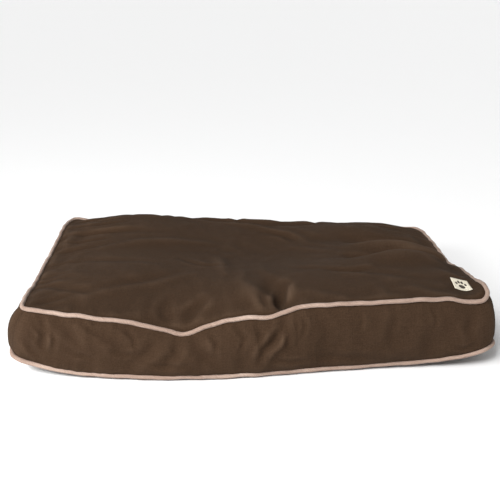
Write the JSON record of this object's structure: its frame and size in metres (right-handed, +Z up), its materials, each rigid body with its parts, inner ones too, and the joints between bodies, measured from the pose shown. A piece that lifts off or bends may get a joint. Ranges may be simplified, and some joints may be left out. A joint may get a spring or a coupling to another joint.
{
  "type": "pet cushion bed",
  "caption": "Rectangular box-sided cushion for a pet to lie on: a piped canvas cover with a rear zip round a filled liner.",
  "frame": {"origin": "centre of the footprint, on the plane the cushion rests on", "axes": "+Z up; +X along the long side, to the right of someone facing the front; -Y toward the front, +Y toward the side with the zip"},
  "size_m": [0.9338, 0.7239, 0.1598],
  "materials": {
    "canvas": "matte",
    "piping": "matte",
    "cord": "matte",
    "zip_tape": "matte",
    "zip_coil": "satin",
    "zip_metal": "satin",
    "label": "matte",
    "liner": "matte",
    "fill": "matte"
  },
  "bodies": {
    "root": {"top_panel": "canvas", "bottom_panel": "canvas", "front_gusset": "canvas", "left_gusset": "canvas", "right_gusset": "canvas", "rear_gusset_upper": "canvas", "rear_gusset_lower": "canvas", "top_piping_cover": "piping", "top_piping_cord": "cord", "bottom_piping_cover": "piping", "bottom_piping_cord": "cord", "zip_tape_upper": "zip_tape", "zip_tape_lower": "zip_tape", "zip_coil_upper": "zip_coil", "zip_coil_lower": "zip_coil", "zip_bottom_stop": "zip_metal", "zip_top_stops": "zip_metal", "zip_end_tab_left": "canvas", "zip_end_tab_right": "canvas", "label": "label", "insert_liner_top": "liner", "insert_liner_bottom": "liner", "insert_liner_boxing": "liner", "insert_fill": "fill"},
    "zip_slider": {"zip_slider_body": "zip_metal"},
    "zip_pull": {"zip_pull_tab": "zip_metal"}
  },
  "joints": [
    {"name": "zip_slide", "type": "slide", "parent": "root", "child": "zip_slider", "axis": [-1, 0, 0], "range_m": [0, 0.747]},
    {"name": "pull_tab_hinge", "type": "hinge", "parent": "zip_slider", "child": "zip_pull", "pos_m": [0.3737, 0.3604, 0.0675], "axis": [0, 0, -1], "range_deg": [0, 175]}
  ]
}
